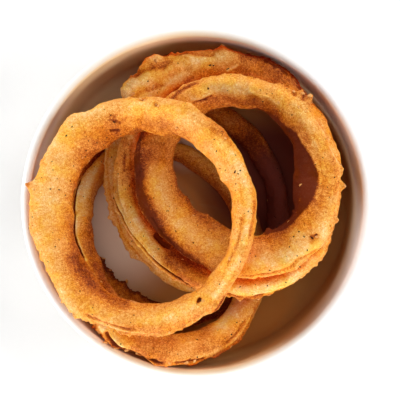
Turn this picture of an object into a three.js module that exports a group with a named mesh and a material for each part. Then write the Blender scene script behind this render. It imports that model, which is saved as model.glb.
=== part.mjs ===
// A side of battered onion rings heaped in a small round bowl.
// The origin is the middle of the bowl's underside, +Z is up.
// Lengths are millimetres and angles are degrees in plan, counted from +X towards +Y.
import * as THREE from 'three';

// Bowl
const RIM_DIAMETER = 150;
const BOWL_HEIGHT = 66;
const LIP_THICKNESS = 4;
const FLOOR_THICKNESS = 6;
const FLOOR_RADIUS = 46;
const FILLET_RISE = 18;
const WALL_DRAFT = 2.4;
const FOOT_RADIUS = 42;
const FOOT_STEP = 2;
const BOWL_SEGMENTS = 64;
const FILLET_STEPS = 6;
const LIP_STEPS = 4;

// Rings
const STEPS_AROUND = 64;
const SIDES = 14;
const SECTION_SQUARENESS = 0.9;

// Each ring: middle of its centreline (x, y, z), mean centreline radius r, its oval and
// three-cornered distortion [size, direction], and its lean [degrees, direction that is raised].
// The band's section is an oval: thick is half its thin way and tall half its long way, each
// [mean, extra, direction of the extra]. flare tips the section's top outwards, in degrees.
// A crag is a tongue of batter, or a dent if its length is negative: [direction, place round the
// section, length, half width along the ring, half width round the section]. Round the section 0
// is the outside, 90 the top and 180 the inside.
const RINGS = [
  {
    name: 'ring_floor', x: -9.5, y: -3, z: 14.2, r: 48, oval: [1.3, 102], tri: [0, 0],
    lean: [1.7, 209], thick: [4.8, 0.4, 160], tall: [5.5, 0, 0], flare: [20, 0, 0], seed: 1,
    crags: [[214, 195, 2.4, 3, 2], [224, 195, 1.4, 3, 2], [235, 190, 2.6, 3.5, 2], [246, 195, 1.4, 4, 2]],
  },
  {
    name: 'ring_leaning', x: -12.8, y: -18.6, z: 37.2, r: 40.7, oval: [4.5, 118], tri: [0.9, 15],
    lean: [31, 249], thick: [4.6, 0.3, 290], tall: [7, 0.8, 250], flare: [25, 15, 250], seed: 2,
    crags: [
      [222, 54, 2.2, 4, 2.5], [233, 54, 3, 4, 2.5], [243, 54, 2, 5, 2.5], [268, 52, 1, 4, 2],
      [301, 48, 1.8, 5, 2],
    ],
  },
  {
    name: 'ring_under', x: 8, y: 12.8, z: 35.8, r: 46, oval: [2.9, 116], tri: [1, 108],
    lean: [18, 263], thick: [4.4, 0, 0], tall: [6.5, 0, 0], flare: [40, 0, 0], seed: 3,
    crags: [[150, 51, 1.5, 6, 2], [203, 51, 1.2, 5, 2], [222, 51, 1.4, 6, 2]],
  },
  {
    name: 'ring_wide', x: 12.6, y: 11.5, z: 58.1, r: 43.6, oval: [1.7, 100], tri: [1.2, 78],
    lean: [9.7, 314], thick: [4.8, 0, 0], tall: [8.4, 2, 10], flare: [50, 8, 143], seed: 4,
    crags: [
      [137, 69, 8.5, 8, 4], [121, 67, 7.5, 8, 4], [106, 66, 3.5, 7, 4], [91, 66, 2.4, 2, 2],
      [226, 62, -2, 14, 5], [303, 56, 1.5, 14, 4], [322, 57, 1.2, 4, 2],
    ],
  },
  {
    name: 'ring_right', x: 18, y: 12.7, z: 69.3, r: 35.6, oval: [2.2, 144], tri: [0.3, 51],
    lean: [13.9, 336], thick: [5, 0, 0], tall: [9, 2, 230], flare: [50, 8, 228], seed: 5,
    crags: [
      [60, 52, 1.8, 3, 2], [53, 52, 2.2, 3, 2], [46, 52, 2.4, 3, 2], [2, 57, 1.6, 3, 2],
      [352, 57, 3, 2, 1.6], [332, 58, 1.6, 4, 2], [346, 60, -0.9, 14, 5], [354, 232, 7, 21, 5.5],
      [294, 246, 1.5, 2.5, 2], [236, 252, 1.6, 5, 2.5],
    ],
  },
  {
    name: 'ring_top', x: -20.9, y: -5, z: 78.6, r: 41.8, oval: [1.2, 93], tri: [0.6, 18],
    lean: [14.4, 338], thick: [5, 0.4, 158], tall: [8, 1, 158], flare: [38, 32, 158], seed: 6,
    crags: [
      [127, 74, 1.4, 3, 2], [133, 75, 1, 2.5, 2], [165, 78, 2, 1.8, 1.6], [186, 78, 1, 6, 2],
      [230, 61, 2, 6, 2.5], [281, 30, 1.8, 4, 2], [293, 24, 1.6, 4, 2], [306, 17, 1.6, 4, 2],
    ],
  },
];

// Relief of the crust: [waves round the ring, turns round the section, height]. Each ring's
// lumps are moved on by its seed.
const LUMPS = [[3, 1, 0.35], [7, -2, 0.3], [11, 1, 0.25], [17, 3, 0.2]];
const LUMP_SHIFT = 1.7;

// Step of angle, in radians, over which the centreline's direction is taken.
const SMALL_ANGLE = 0.01;

const CERAMIC = { color: 0xf1ece4, roughness: 0.25, metalness: 0 };
const CRUST = { color: 0xd9923f, roughness: 0.7, metalness: 0 };

const radians = THREE.MathUtils.degToRad;

// A value that swings once round the ring: mean + extra at the given direction.
function swing([mean, extra, direction], angle) {
  return mean + extra * Math.cos(angle - radians(direction));
}

function quarterEllipse(steps, point) {
  return Array.from({ length: steps }, (_, i) => point((i + 1) / steps * Math.PI / 2));
}

function bowlProfile() {
  const rim = RIM_DIAMETER / 2;
  const lip = LIP_THICKNESS / 2;
  const top = BOWL_HEIGHT - lip;
  const innerWall = rim - LIP_THICKNESS - WALL_DRAFT;
  const outerWall = rim - WALL_DRAFT;
  const inside = quarterEllipse(FILLET_STEPS, (t) => new THREE.Vector2(
    FLOOR_RADIUS + (innerWall - FLOOR_RADIUS) * Math.sin(t),
    FLOOR_THICKNESS + FILLET_RISE * (1 - Math.cos(t)),
  ));
  const edge = Array.from({ length: LIP_STEPS + 1 }, (_, i) => {
    const t = Math.PI * (1 - i / LIP_STEPS);
    return new THREE.Vector2(rim - lip + lip * Math.cos(t), top + lip * Math.sin(t));
  });
  const outside = quarterEllipse(FILLET_STEPS, (t) => new THREE.Vector2(
    FOOT_RADIUS + (outerWall - FOOT_RADIUS) * Math.cos(t),
    FOOT_STEP + (FLOOR_THICKNESS + FILLET_RISE - FOOT_STEP) * (1 - Math.sin(t)),
  ));
  return [
    new THREE.Vector2(0, 0),
    new THREE.Vector2(FOOT_RADIUS, 0),
    ...outside.reverse(),
    new THREE.Vector2(outerWall, FLOOR_THICKNESS + FILLET_RISE),
    ...edge.reverse(),
    ...inside.reverse(),
    new THREE.Vector2(FLOOR_RADIUS, FLOOR_THICKNESS),
    new THREE.Vector2(0, FLOOR_THICKNESS),
  ];
}

// LatheGeometry turns about +Y, so the bowl is stood up on +Z.
function bowlMesh() {
  const geometry = new THREE.LatheGeometry(bowlProfile(), BOWL_SEGMENTS);
  geometry.rotateX(Math.PI / 2);
  return namedMesh('bowl', geometry, CERAMIC);
}

function centre(ring, angle) {
  const radius = ring.r
    + ring.oval[0] * Math.cos(2 * (angle - radians(ring.oval[1])))
    + ring.tri[0] * Math.cos(3 * (angle - radians(ring.tri[1])));
  const x = radius * Math.cos(angle);
  const y = radius * Math.sin(angle);
  const up = radians(ring.lean[1]);
  const rise = Math.tan(radians(ring.lean[0])) * (x * Math.cos(up) + y * Math.sin(up));
  return new THREE.Vector3(ring.x + x, ring.y + y, ring.z + rise);
}

// How far the crust stands off the plain section.
function relief(ring, angle, round) {
  const lumps = LUMPS.reduce((sum, [waves, turns, height], i) => (
    sum + height * Math.sin(waves * angle + turns * round + ring.seed * (i + 1) * LUMP_SHIFT)), 0);
  const crags = ring.crags.reduce((sum, [direction, place, length, halfWidth, reach]) => {
    const along = ring.r * wrap(angle - radians(direction));
    const across = ring.thick[0] * wrap(round - radians(place));
    return sum + length * Math.exp(-((along / halfWidth) ** 2) - ((across / reach) ** 2));
  }, 0);
  return lumps + crags;
}

function wrap(angle) {
  return Math.atan2(Math.sin(angle), Math.cos(angle));
}

function rounded(value) {
  return Math.sign(value) * Math.abs(value) ** SECTION_SQUARENESS;
}

// A point of the crust: the section is set square to the centreline in plan.
function crustPoint(ring, angle, round) {
  const middle = centre(ring, angle);
  const ahead = centre(ring, angle + SMALL_ANGLE).sub(centre(ring, angle - SMALL_ANGLE));
  const outward = new THREE.Vector3(ahead.y, -ahead.x, 0).normalize();
  const flare = radians(swing(ring.flare, angle));
  const across = swing(ring.thick, angle) * rounded(Math.cos(round));
  const upwards = swing(ring.tall, angle) * rounded(Math.sin(round));
  const offset = outward.multiplyScalar(across * Math.cos(flare) + upwards * Math.sin(flare));
  offset.z = upwards * Math.cos(flare) - across * Math.sin(flare);
  offset.setLength(offset.length() + relief(ring, angle, round));
  return middle.add(offset);
}

function ringMesh(ring) {
  const positions = [];
  const indices = [];
  for (let i = 0; i < STEPS_AROUND; i += 1) {
    for (let j = 0; j < SIDES; j += 1) {
      const angle = i / STEPS_AROUND * 2 * Math.PI;
      const round = j / SIDES * 2 * Math.PI;
      positions.push(...crustPoint(ring, angle, round).toArray());
      const next = (i + 1) % STEPS_AROUND;
      const above = (j + 1) % SIDES;
      const a = i * SIDES + j;
      const b = next * SIDES + j;
      const c = next * SIDES + above;
      const d = i * SIDES + above;
      indices.push(a, b, c, a, c, d);
    }
  }
  const geometry = new THREE.BufferGeometry();
  geometry.setAttribute('position', new THREE.Float32BufferAttribute(positions, 3));
  geometry.setIndex(indices);
  geometry.computeVertexNormals();
  return namedMesh(ring.name, geometry, CRUST);
}

function namedMesh(name, geometry, finish) {
  const mesh = new THREE.Mesh(geometry, new THREE.MeshStandardMaterial(finish));
  mesh.name = name;
  return mesh;
}

const side = new THREE.Group();
side.add(bowlMesh());
RINGS.forEach((ring) => side.add(ringMesh(ring)));

export default side;
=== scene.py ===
"""The looks of a side of onion rings heaped in a small round bowl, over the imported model."""

import math

import bpy
import numpy as np
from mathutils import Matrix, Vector, noise
from mathutils.bvhtree import BVHTree


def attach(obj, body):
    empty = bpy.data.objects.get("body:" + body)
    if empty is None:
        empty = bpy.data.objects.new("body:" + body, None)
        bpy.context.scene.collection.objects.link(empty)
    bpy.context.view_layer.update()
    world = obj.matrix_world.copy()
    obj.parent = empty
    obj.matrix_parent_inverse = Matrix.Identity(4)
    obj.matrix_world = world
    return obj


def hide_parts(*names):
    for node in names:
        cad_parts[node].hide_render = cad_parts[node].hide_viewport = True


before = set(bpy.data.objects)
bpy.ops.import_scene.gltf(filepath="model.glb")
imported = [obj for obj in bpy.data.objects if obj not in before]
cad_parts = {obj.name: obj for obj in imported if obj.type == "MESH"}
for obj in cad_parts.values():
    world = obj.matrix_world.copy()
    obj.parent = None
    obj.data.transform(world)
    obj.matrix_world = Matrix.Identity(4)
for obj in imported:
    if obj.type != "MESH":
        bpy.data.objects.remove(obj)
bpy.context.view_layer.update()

MM = 0.001

# -------- the bowl, in mm, as in the CAD
RIM_DIAMETER = 150
BOWL_HEIGHT = 66
LIP_THICKNESS = 4
FLOOR_THICKNESS = 6
FLOOR_RADIUS = 46
FILLET_RISE = 18
WALL_DRAFT = 2.4
FOOT_RADIUS = 42
FOOT_STEP = 2
BOWL_SEGMENTS = 256
FILLET_STEPS = 24
WALL_STEPS = 12
LIP_STEPS = 17
# The lip's point where the bowl's lining starts.
LINING_STEP = 12
# Rows of points under the foot and over the floor, in shares of their radii, and the height of
# the foot's edge.
FOOT_ROWS = (0.5, 0.9, 0.99)
FLOOR_ROWS = np.linspace(0.95, 0.05, 19)
FOOT_EDGE = 0.4

# -------- the rings, in mm and degrees
# As in the CAD: middle x, y, z of the centreline, its radius r, oval and three-cornered
# distortion [size, direction], lean [degrees, raised direction]; the band's half thickness, half
# height and flare as [mean, extra, direction of the extra]. Crags are tongues of batter
# [direction, place round the section, length, half width along, half width round]: place 0 is
# the outside of a ring, 90 its top and 180 its inside.
STEPS_AROUND = 640
SIDES = 104
SECTION_SQUARENESS = 0.9
LUMPS = [(3, 1, 0.35), (7, -2, 0.3), (11, 1, 0.25), (17, 3, 0.2)]
LUMP_SHIFT = 1.7
SMALL_ANGLE = 0.01
RINGS = [
    dict(
        name="ring_floor", x=-9.5, y=-3, z=14.2, r=48, oval=(1.3, 102), tri=(0, 0),
        lean=(1.7, 209), thick=(4.8, 0.4, 160), tall=(5.5, 0, 0), flare=(20, 0, 0), seed=1,
        crags=[
            (214, 195, 2.4, 3, 2), (224, 195, 1.4, 3, 2), (235, 190, 2.6, 3.5, 2),
            (246, 195, 1.4, 4, 2),
        ],
    ),
    dict(
        name="ring_leaning", x=-12.8, y=-18.6, z=37.2, r=40.7, oval=(4.5, 118), tri=(0.9, 15),
        lean=(31, 249), thick=(4.6, 0.3, 290), tall=(7, 0.8, 250), flare=(25, 15, 250), seed=2,
        crags=[
            (222, 54, 2.2, 4, 2.5), (233, 54, 3, 4, 2.5), (243, 54, 2, 5, 2.5),
            (268, 52, 1, 4, 2), (301, 48, 1.8, 5, 2),
        ],
    ),
    dict(
        name="ring_under", x=8, y=12.8, z=35.8, r=46, oval=(2.9, 116), tri=(1, 108),
        lean=(18, 263), thick=(4.4, 0, 0), tall=(6.5, 0, 0), flare=(40, 0, 0), seed=3,
        crags=[(150, 51, 1.5, 6, 2), (203, 51, 1.2, 5, 2), (222, 51, 1.4, 6, 2)],
    ),
    dict(
        name="ring_wide", x=12.6, y=11.5, z=58.1, r=43.6, oval=(1.7, 100), tri=(1.2, 78),
        lean=(9.7, 314), thick=(4.8, 0, 0), tall=(8.4, 2, 10), flare=(50, 8, 143), seed=4,
        crags=[
            (137, 69, 8.5, 8, 4), (121, 67, 7.5, 8, 4), (106, 66, 3.5, 7, 4),
            (91, 66, 2.4, 2, 2), (226, 62, -2, 14, 5), (303, 56, 1.5, 14, 4),
            (322, 57, 1.2, 4, 2),
        ],
    ),
    dict(
        name="ring_right", x=18, y=12.7, z=69.3, r=35.6, oval=(2.2, 144), tri=(0.3, 51),
        lean=(13.9, 336), thick=(5, 0, 0), tall=(9, 2, 230), flare=(50, 8, 228), seed=5,
        crags=[
            (60, 52, 1.8, 3, 2), (53, 52, 2.2, 3, 2), (46, 52, 2.4, 3, 2), (2, 57, 1.6, 3, 2),
            (352, 57, 3, 2, 1.6), (332, 58, 1.6, 4, 2), (346, 60, -0.9, 14, 5),
            (354, 232, 7, 21, 5.5), (294, 246, 1.5, 2.5, 2), (236, 252, 1.6, 5, 2.5),
        ],
    ),
    dict(
        name="ring_top", x=-20.9, y=-5, z=78.6, r=41.8, oval=(1.2, 93), tri=(0.6, 18),
        lean=(14.4, 338), thick=(5, 0.4, 158), tall=(8, 1, 158), flare=(38, 32, 158), seed=6,
        crags=[
            (127, 74, 1.4, 3, 2), (133, 75, 1, 2.5, 2), (165, 78, 2, 1.8, 1.6),
            (186, 78, 1, 6, 2), (230, 61, 2, 6, 2.5), (281, 30, 1.8, 4, 2),
            (293, 24, 1.6, 4, 2), (306, 17, 1.6, 4, 2),
        ],
    ),
]

# Marks on the crust of each ring, as (half width in mm, height in mm, tone, and the line through
# points of direction and place). A negative height is a groove, and a negative tone is darker. The
# tones are partly the crust's own streaks and partly painted light and shade: dark tones paint the
# shade in grooves, in troughs between rings, on inner faces and under the ring above, and pale
# tones paint light on lit ridges and edges.
MARKS_AND_PAINTED_SHADE = {
    "ring_top": [
        (0.4, -0.5, -0.55, (113, 190), (108, 196)),
        (0.4, -0.35, -0.35, (112, 162), (109, 168), (106, 177)),
        (3.2, 0.35, 0.17, (98, 122), (92, 130), (85, 146)), (3, 0.2, 0.08, (77, 124), (68, 130)),
        (5.5, 0, 0.06, (140, 98), (165, 104), (190, 110), (215, 115)),
        (3.2, 0, 0.02, (112, 140), (122, 140), (138, 150), (152, 172), (172, 182), (190, 186)),
        (3, 0, -0.26, (210, 200), (226, 202), (240, 196), (256, 188)),
        (4, 1.8, 0.1, (52, 192), (38, 190), (26, 190)),
        (3.2, 1.2, 0, (262, 212), (280, 214), (296, 210)), (3, 0, -0.1, (262, 100), (276, 98)),
        (2.6, 0.9, 0.1, (90, 215), (84, 232), (78, 226)), (1.6, -0.4, -0.15, (96, 226), (90, 250)),
        (3, 0.15, -0.08, (152, 100), (148, 128), (150, 160)), (4, 0, 0.08, (172, 130), (172, 158)),
        (2.4, 0, -0.2, (56, 66), (46, 60)), (2.4, 0, 0.12, (170, 250), (182, 250)),
        (4, 0, -0.08, (118, 196), (106, 190)), (5, 0, -0.08, (110, 170), (122, 176), (134, 186)),
        (1.2, 0, -0.4, (306, 26), (313, 32)), (6, 0, 0.07, (122, 110), (138, 120), (150, 128)),
        (3.5, 0, -0.12, (92, 180), (80, 176)), (3.5, 0, -0.12, (262, 74), (280, 76), (296, 74)),
        (5, 0, 0.13, (150, 178), (170, 188), (196, 194)), (3.5, 0, 0.12, (124, 92), (114, 92)),
        (4.5, 0, -0.1, (191, 205), (205, 200), (229, 165)),
        (3.6, 0.25, 0.16, (273, 127), (285, 120), (300, 112)),
        (1.4, 0.3, 0.25, (311, 84), (322, 90), (336, 88)),
        (0.9, -0.35, -0.22, (330, 120), (344, 116), (358, 118)),
        (1.7, 0.2, 0.22, (345, 84), (0, 84), (14, 92)),
        (2.2, 0.15, 0.22, (18, 92), (32, 100), (44, 112)), (2, 0, -0.2, (6, 60), (350, 58)),
        (2, 0, -0.18, (52, 100), (40, 84)), (1, -0.2, -0.16, (111, 150), (108, 154)),
        (0.9, 0.3, 0.12, (104, 150), (99, 160), (94, 158)),
        (0.7, -0.45, -0.3, (240, 90), (252, 96), (262, 88)),
        (0.7, 0.5, 0.25, (253, 81), (262, 80), (270, 76)),
        (1.6, 0.3, 0.15, (221, 100), (228, 88), (238, 74)), (1, 0, -0.35, (165, 76), (165, 84)),
        (1, -0.9, -0.35, (92, 92), (92, 97)), (0.9, -0.8, -0.35, (85, 116), (85, 121)),
        (0.8, -1, -1.6, (302, 117), (303, 121)),
    ],
    "ring_right": [
        (1.8, -0.4, -0.42, (118, 84), (126, 90), (133, 106), (142, 116)),
        (3, 0, -0.22, (166, 140), (172, 134), (180, 124)), (3.5, 0, -0.12, (160, 176), (170, 172)),
        (4, 0, -0.12, (176, 118), (200, 120), (222, 110)),
        (5, 0, -0.07, (206, 150), (222, 150), (240, 150)), (2.4, 0, 0.3, (276, 252), (290, 250)),
        (4, 0, 0.09, (50, 112), (36, 112), (26, 110)),
        (4.5, -1.6, 0, (30, 60), (10, 58), (350, 56), (334, 60)),
        (0.55, -0.75, -0.45, (122, 164), (115, 168), (109, 162)),
        (0.7, 0.45, 0.22, (122, 156), (115, 160), (109, 155)),
        (0.8, 0.55, 0.12, (82, 146), (75, 152), (70, 141), (61, 153)),
        (1.8, -0.35, -0.12, (84, 158), (72, 166), (60, 170)),
        (3, 0.1, 0.08, (110, 118), (98, 122), (84, 118)),
        (2.4, 0, 0.16, (112, 140), (98, 148), (84, 150)),
        (2.4, 0, -0.22, (116, 176), (100, 182), (84, 186), (68, 192), (56, 196)),
        (4.6, -1.2, -0.5, (158, 84), (167, 88), (178, 94), (189, 96), (200, 96), (210, 94),
            (221, 86), (235, 80), (251, 76)),
        (2.2, -0.4, -0.16, (176, 98), (190, 100), (202, 99), (212, 96), (222, 86), (234, 80)),
        (0.8, -1.2, -0.6, (207, 106), (213, 101), (221, 90), (228, 86)),
        (3, 0, 0.12, (178, 172), (194, 174), (212, 174), (234, 170), (254, 166)),
        (2.2, 0, 0.24, (268, 156), (278, 154), (286, 152)),
        (2, 0, 0.14, (310, 186), (320, 186), (334, 180)),
        (2, 0.3, -0.1, (66, 62), (58, 70), (50, 66), (42, 62)),
        (0.8, -0.9, -0.35, (56, 66), (55, 74)), (0.8, -0.9, -0.35, (50, 60), (49, 70)),
        (1.6, -0.2, -0.12, (54, 120), (50, 132)),
        (0.9, -0.5, -0.06, (34, 158), (20, 180), (9, 186), (358, 178)),
        (1, -0.4, 0.12, (24, 162), (14, 165), (4, 160)),
        (0.5, 0.45, 0.18, (33, 180), (22, 178), (8, 172), (354, 167), (342, 172)),
        (0.7, 0.4, 0.12, (22, 150), (10, 152), (0, 156)),
        (2.5, 0.15, -0.14, (30, 100), (12, 104), (350, 108)), (2.2, 0.2, 0.14, (24, 80), (6, 84)),
        (0.5, 0.6, 0.4, (296, 226), (305, 222), (313, 214), (326, 206), (338, 198)),
        (1.4, -0.2, -0.15, (298, 242), (310, 238), (326, 226)),
        (0.6, -0.7, -0.55, (318, 145), (321, 133)),
        (2.6, 0.1, 0.14, (314, 168), (306, 160), (296, 152)),
        (1, -0.6, -0.2, (274, 101), (284, 94), (293, 98), (305, 109), (314, 92)),
        (3, 0.25, 0.18, (300, 130), (312, 122), (326, 116)),
        (1, 0.4, -0.12, (188, 222), (206, 230), (223, 226), (240, 214)),
        (1.6, 0, -0.14, (179, 126), (193, 124), (210, 128), (227, 118), (240, 97)),
        (2.8, 0.1, 0.08, (186, 160), (206, 166), (226, 166), (246, 158)),
        (3.4, 0.1, -0.12, (240, 146), (256, 138), (270, 128)),
        (5, 0, -0.08, (160, 120), (170, 130), (176, 112)),
        (0.8, -0.6, -0.22, (164, 108), (172, 116), (180, 112)),
        (1.2, -0.7, -0.4, (320, 130), (317, 133)),
        (4, 0, -0.14, (40, 232), (10, 228), (346, 224), (322, 230)),
        (3.2, 0, -0.15, (60, 198), (40, 186), (26, 174), (8, 166), (351, 161), (337, 170),
            (325, 184), (312, 198), (300, 208), (288, 218)),
    ],
    "ring_wide": [
        (0.55, -1.3, -0.75, (186, 74), (200, 84), (209, 97), (217, 107), (226, 103), (241, 100),
            (254, 79)),
        (0.7, 0.6, 0.12, (188, 66), (202, 72), (211, 84), (220, 94), (230, 88), (243, 86)),
        (0.5, 0.35, 0.14, (188, 92), (200, 102), (212, 114), (226, 116), (240, 112)),
        (0.7, 0.3, 0.1, (176, 112), (190, 122), (204, 126), (218, 132), (232, 134)),
        (4, 0, -0.06, (164, 170), (178, 178), (194, 182), (213, 190), (229, 196), (245, 180)),
        (2.6, 0, 0.05, (180, 76), (193, 79), (210, 84), (228, 84)),
        (3, 0, -0.22, (162, 124), (172, 134), (180, 140)), (3, 0, -0.14, (160, 100), (172, 98)),
        (3, 0, -0.12, (211, 172), (225, 170)), (2.2, 0, 0.24, (160, 162), (168, 168)),
        (3.4, 0, -0.26, (236, 172), (246, 168), (254, 164)), (3, 0, -0.15, (236, 78), (248, 84)),
        (1.8, 0, 0.14, (196, 106), (210, 110), (226, 108)),
        (2.4, 0, 0.26, (200, 160), (214, 166), (228, 168)),
        (2.8, 0, -0.26, (234, 140), (244, 122), (254, 114)),
        (5, 0.2, 0.18, (137, 108), (129, 126), (122, 146), (118, 156)),
        (1.1, 1, 0.1, (140, 72), (133, 80), (127, 90), (121, 98)),
        (0.9, -1.1, -0.3, (135, 70), (129, 78), (122, 86), (115, 92)),
        (1.3, 0.9, 0.08, (120, 72), (112, 82), (106, 92)),
        (0.8, -0.9, -0.28, (115, 72), (108, 84), (101, 96), (96, 104)),
        (1.2, 0.7, 0.06, (130, 108), (122, 116), (113, 118)),
        (0.8, -0.7, -0.18, (127, 114), (118, 124), (108, 126)),
        (2, 0.4, -0.16, (106, 80), (100, 90), (92, 98)),
        (4.2, 0, -0.36, (82, 114), (70, 112), (58, 112), (46, 104)),
        (2.8, 0, 0.14, (112, 74), (100, 76), (90, 74)),
        (4, -1.8, -0.1, (50, 82), (36, 82), (22, 76)),
        (4.2, -1.9, -0.1, (356, 80), (342, 78), (326, 64)),
        (1.2, -0.6, -0.15, (161, 158), (170, 166), (176, 172)),
        (0.8, -0.4, -0.25, (168, 130), (176, 140)), (1.3, -1, -0.9, (221, 189), (230, 196)),
        (2, -0.2, -0.12, (120, 166), (110, 160), (101, 152), (88, 160), (75, 156), (62, 142)),
        (0.8, -0.6, -0.2, (126, 172), (118, 170), (109, 162)),
        (2.2, 0.1, -0.18, (86, 70), (76, 74), (66, 76), (54, 86)),
        (0.5, 0.5, 0.45, (89, 164), (84, 148)), (2.6, 0.15, 0.16, (104, 114), (94, 112), (88, 108)),
        (0.8, -0.4, -0.25, (72, 96), (60, 100)), (4, 0, -0.1, (134, 96), (126, 100), (116, 106)),
        (1.3, 0.7, 0.2, (143, 78), (137, 88), (132, 96), (126, 96)),
        (0.7, -0.9, -0.3, (139, 100), (133, 110), (128, 122), (124, 130)),
        (0.8, -0.7, -0.22, (131, 84), (124, 92), (119, 100)), (1, 0.6, 0.3, (126, 74), (118, 80)),
        (1.6, -0.2, -0.12, (279, 147), (288, 140), (298, 130), (310, 122), (319, 112)),
        (0.6, 0.7, -0.15, (270, 66), (278, 58), (287, 61), (292, 58)),
        (0.6, -0.8, -0.4, (268, 78), (278, 70), (288, 72)),
        (2.4, 0.2, 0.26, (277, 107), (290, 104), (304, 100)),
        (0.5, 0.4, 0.2, (284, 92), (294, 88), (304, 86)),
        (2, 0.1, 0.06, (206, 153), (221, 159), (236, 160)),
    ],
    "ring_under": [
        (1.4, 0.3, 0.04, (146, 70), (170, 74), (200, 76), (230, 74)),
        (0.7, -0.5, -0.2, (150, 90), (180, 92), (210, 92), (236, 90)),
    ],
    "ring_leaning": [
        (3, 0, 0.26, (234, 94), (240, 97), (246, 98)),
        (6, 0, -0.1, (262, 80), (280, 70), (300, 84)),
        (4.5, 0, -0.12, (290, 120), (300, 120), (310, 110)), (2.4, 0, 0.12, (138, 108), (146, 92)),
        (3, 0, 0.18, (18, 60), (8, 74)), (5, 0, -0.22, (88, 132), (66, 138), (50, 140), (34, 140)),
        (4, 0, -0.15, (246, 112), (256, 112), (268, 130), (272, 158)),
        (0.6, 0.7, 0.5, (146, 84), (158, 106)),
        (0.7, -0.8, -1, (143, 66), (158, 96), (166, 103), (174, 107), (181, 119), (188, 130)),
        (0.5, 0.5, 0.4, (162, 116), (172, 118), (181, 130), (190, 142)),
        (2.2, 0, 0.12, (131, 96), (139, 110), (148, 130)),
        (2.4, 0, -0.08, (138, 130), (152, 160), (168, 185), (186, 190)),
        (0.8, -1.3, -1, (237, 88), (243, 77), (251, 62), (258, 72), (268, 78)),
        (0.9, 0.8, 0.2, (232, 84), (240, 92), (248, 88)),
        (1.6, 0.3, -0.15, (228, 60), (236, 66), (245, 60)),
        (3, 0.1, -0.04, (245, 108), (258, 112), (272, 110)),
        (3.4, 0, 0.12, (132, 124), (138, 132), (146, 112), (158, 128)),
        (4.4, 0, -0.2, (170, 168), (186, 162), (202, 174), (214, 178)),
        (2.4, 0, -0.11, (194, 180), (206, 186), (222, 188)),
        (4.2, 0, 0.46, (306, 178), (316, 182), (328, 182)),
        (1.4, -0.3, -0.12, (238, 110), (246, 138), (258, 164), (270, 170)),
        (1.2, 0.3, 0.22, (286, 96), (296, 92)),
        (1.3, 0.3, -0.22, (294, 70), (303, 62), (310, 66), (318, 70), (325, 74)),
        (0.5, 0.5, 0.2, (300, 84), (312, 80), (322, 84)), (0.5, -0.4, -0.25, (302, 96), (316, 92)),
        (2.6, 0, -0.06, (288, 150), (296, 176), (306, 196)),
        (0.8, -0.7, -0.45, (276, 84), (282, 90), (288, 82)),
    ],
    "ring_floor": [
        (1.4, 0.4, -0.3, (214, 190), (225, 182), (238, 188), (257, 196)),
        (2, 0.2, 0.06, (60, 160), (48, 150), (34, 140)),
        (4, 0, -0.16, (44, 106), (34, 112), (22, 116)),
        (5, 0, -0.4, (278, 108), (294, 110), (310, 110)),
        (6, 0, -0.26, (44, 150), (30, 150), (10, 150), (346, 150), (340, 140)),
    ],
}

# Faces in shadow on the inside of a ring: their upper edge through (direction, place), and tone.
# The tone comes in over FACE_EDGE degrees past that edge, goes out over FACE_END and fades over
# FACE_FADE degrees at both ends.
SHADED_FACES = {
    "ring_right": (
        [(286, 224), (300, 214), (312, 205), (325, 193), (337, 180), (351, 171), (368, 175),
            (386, 181), (405, 192), (425, 204), (442, 218)], -0.62,
    ),
}
FACE_EDGE = (-3, 7)
FACE_END = (290, 265)
FACE_FADE = 12

# Ragged edges: (from direction, to direction, place, height of the teeth in mm).
RAGGED = {
    "ring_top": [
        (222, 318, 58, 1.3), (222, 318, 42, 0.9), (318, 60, 76, 0.45), (60, 140, 74, 0.45),
        (140, 222, 78, 0.6), (300, 60, 252, 0.5), (150, 220, 240, 0.45), (60, 130, 236, 0.5),
    ],
    "ring_right": [
        (36, 70, 54, 1.5), (320, 36, 62, 0.9), (320, 350, 50, 1.1), (70, 130, 60, 0.6),
        (255, 320, 72, 0.5), (185, 245, 238, 0.8), (285, 335, 236, 0.7),
    ],
    "ring_wide": [
        (105, 150, 68, 1.3), (105, 150, 84, 0.8), (50, 105, 72, 0.6), (180, 262, 66, 0.8),
        (262, 335, 58, 0.9),
    ],
    "ring_under": [(140, 240, 54, 0.9)],
    "ring_leaning": [
        (215, 262, 56, 1.6), (215, 262, 40, 1.2), (262, 330, 56, 0.9), (140, 200, 210, 0.4),
    ],
    "ring_floor": [(205, 262, 186, 0.8), (205, 262, 172, 0.6), (262, 60, 190, 0.4)],
}
# A tooth's length along the ring and half width across it in mm, its least and greatest share of
# the height, the angle over which a row of teeth fades at its ends, in radians, and how much
# finer and how strong the second noise is.
TOOTH = 2.3
TOOTH_WIDTH = 1.1
TOOTH_RANGE = (-0.15, 1.0)
TOOTH_GAIN = 1.8
TOOTH_BIAS = 0.05
TOOTH_FADE = 0.12
TOOTH_FINER = 2.3
TOOTH_FINER_SHARE = 0.5

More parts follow.
